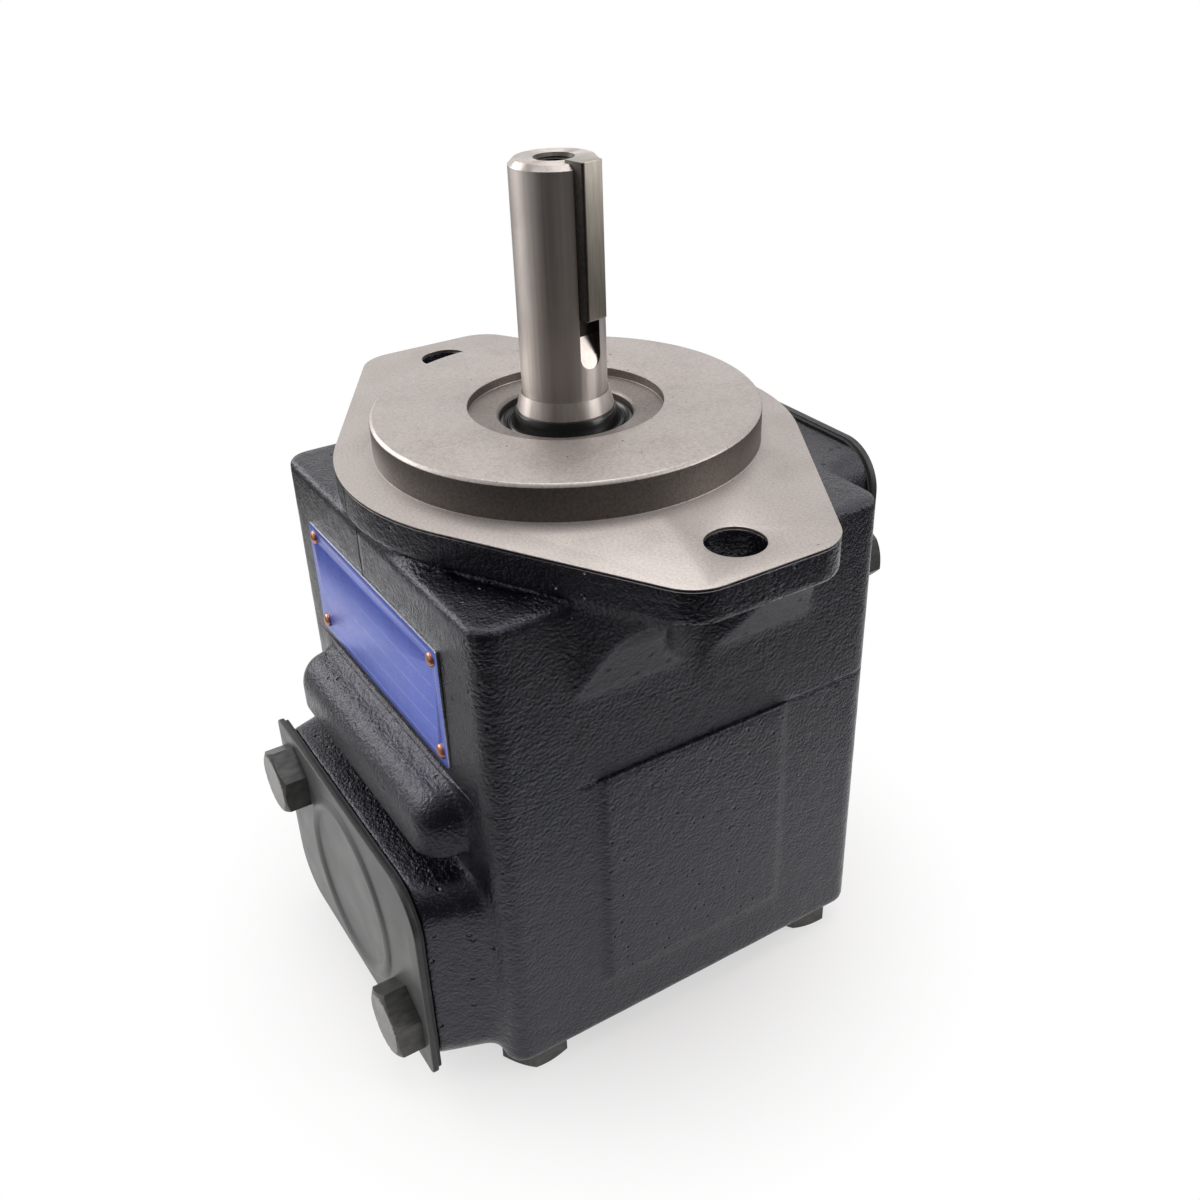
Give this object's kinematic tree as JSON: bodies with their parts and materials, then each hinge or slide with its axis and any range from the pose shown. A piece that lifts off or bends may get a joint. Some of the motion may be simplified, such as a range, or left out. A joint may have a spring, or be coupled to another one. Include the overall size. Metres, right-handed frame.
{
  "type": "hydraulic vane pump",
  "caption": "Cartridge vane pump with a two-bolt pilot flange, keyed drive shaft, square cast body and blanked suction and pressure ports.",
  "frame": {"origin": "shaft axis at the flange's mounting face, at the foot of the pilot", "axes": "+Z out along the drive shaft, +X towards one flange ear, -Y towards the suction port, +Y towards the pressure port"},
  "size_m": [0.174, 0.1695, 0.2285],
  "materials": {
    "painted_casting": "semi-gloss black paint over sand-cast iron, machined grey on the flange face and pilot",
    "shaft_steel": "ground bright steel",
    "key_steel": "matt bright-drawn steel",
    "seal_rubber": "black nitrile rubber",
    "spring_steel": "blued spring steel",
    "bearing_steel": "polished bearing steel",
    "cage_steel": "pressed steel",
    "port_plate_iron": "machined ductile iron",
    "bush_bronze": "turned bronze",
    "cam_steel": "hardened and ground steel",
    "vane_steel": "ground tool steel",
    "black_steel": "black oxide",
    "bolt_steel": "dark grey phosphate",
    "cover_paint": "satin grey paint on pressed steel",
    "gasket_rubber": "black sheet gasket",
    "nameplate_blue": "blue anodised with a bare edge",
    "rivet_copper": "copper"
  },
  "bodies": {
    "housing": {"bearing_outer_race": "bearing_steel", "bearing_retaining_ring": "spring_steel", "cam_ring": "cam_steel", "cartridge_dowel": "cam_steel", "cartridge_screw_1": "black_steel", "cartridge_screw_2": "black_steel", "front_port_plate": "port_plate_iron", "housing_bolt_1": "bolt_steel", "housing_bolt_2": "bolt_steel", "housing_bolt_3": "bolt_steel", "housing_bolt_4": "bolt_steel", "housing_seal_ring": "seal_rubber", "hub_seal_ring": "seal_rubber", "mounting_cap": "painted_casting", "nameplate": "nameplate_blue", "nameplate_rivets": "rivet_copper", "pressure_cover": "cover_paint", "pressure_cover_bolt_1": "bolt_steel", "pressure_cover_bolt_2": "bolt_steel", "pressure_cover_gasket": "gasket_rubber", "rear_bush": "bush_bronze", "rear_housing": "painted_casting", "rear_port_plate": "port_plate_iron", "rim_seal_ring": "seal_rubber", "seal_garter_spring": "spring_steel", "shaft_seal": "seal_rubber", "suction_cover": "cover_paint", "suction_cover_bolt_1": "bolt_steel", "suction_cover_bolt_2": "bolt_steel", "suction_cover_gasket": "gasket_rubber"},
    "shaft": {"drive_shaft": "shaft_steel", "shaft_key": "key_steel", "rotor": "cam_steel", "bearing_inner_race": "bearing_steel", "shaft_retaining_ring": "spring_steel"},
    "ball_set": {"bearing_cage": "cage_steel", "bearing_balls": "bearing_steel"},
    "vane_01_set": {"vane_01": "vane_steel", "vane_pin_01": "bearing_steel"},
    "vane_02_set": {"vane_02": "vane_steel", "vane_pin_02": "bearing_steel"},
    "vane_03_set": {"vane_03": "vane_steel", "vane_pin_03": "bearing_steel"},
    "vane_04_set": {"vane_04": "vane_steel", "vane_pin_04": "bearing_steel"},
    "vane_05_set": {"vane_05": "vane_steel", "vane_pin_05": "bearing_steel"},
    "vane_06_set": {"vane_06": "vane_steel", "vane_pin_06": "bearing_steel"},
    "vane_07_set": {"vane_07": "vane_steel", "vane_pin_07": "bearing_steel"},
    "vane_08_set": {"vane_08": "vane_steel", "vane_pin_08": "bearing_steel"},
    "vane_09_set": {"vane_09": "vane_steel", "vane_pin_09": "bearing_steel"},
    "vane_10_set": {"vane_10": "vane_steel", "vane_pin_10": "bearing_steel"}
  },
  "joints": [
    {"name": "shaft_spin", "type": "hinge", "parent": "housing", "child": "shaft", "pos_m": [0, 0, 0], "axis": [0, 0, 1], "continuous": true},
    {"name": "ball_set_spin", "type": "hinge", "parent": "housing", "child": "ball_set", "pos_m": [0, 0, 0], "axis": [0, 0, 1], "continuous": true},
    {"name": "vane_01_slide", "type": "slide", "parent": "shaft", "child": "vane_01_set", "axis": [1, 0, 0], "range_m": [-0.0024, 0]},
    {"name": "vane_02_slide", "type": "slide", "parent": "shaft", "child": "vane_02_set", "axis": [0.809, 0.5878, 0], "range_m": [-0.0024, 0]},
    {"name": "vane_03_slide", "type": "slide", "parent": "shaft", "child": "vane_03_set", "axis": [0.309, 0.9511, 0], "range_m": [-0.0024, 0]},
    {"name": "vane_04_slide", "type": "slide", "parent": "shaft", "child": "vane_04_set", "axis": [-0.309, 0.9511, 0], "range_m": [-0.0024, 0]},
    {"name": "vane_05_slide", "type": "slide", "parent": "shaft", "child": "vane_05_set", "axis": [-0.809, 0.5878, 0], "range_m": [-0.0024, 0]},
    {"name": "vane_06_slide", "type": "slide", "parent": "shaft", "child": "vane_06_set", "axis": [-1, 0, 0], "range_m": [-0.0024, 0]},
    {"name": "vane_07_slide", "type": "slide", "parent": "shaft", "child": "vane_07_set", "axis": [-0.809, -0.5878, 0], "range_m": [-0.0024, 0]},
    {"name": "vane_08_slide", "type": "slide", "parent": "shaft", "child": "vane_08_set", "axis": [-0.309, -0.9511, 0], "range_m": [-0.0024, 0]},
    {"name": "vane_09_slide", "type": "slide", "parent": "shaft", "child": "vane_09_set", "axis": [0.309, -0.9511, 0], "range_m": [-0.0024, 0]},
    {"name": "vane_10_slide", "type": "slide", "parent": "shaft", "child": "vane_10_set", "axis": [0.809, -0.5878, 0], "range_m": [-0.0024, 0]}
  ],
  "couplings": [
    {"joint": "ball_set_spin", "follows": "shaft_spin", "ratio": 0.3965}
  ]
}
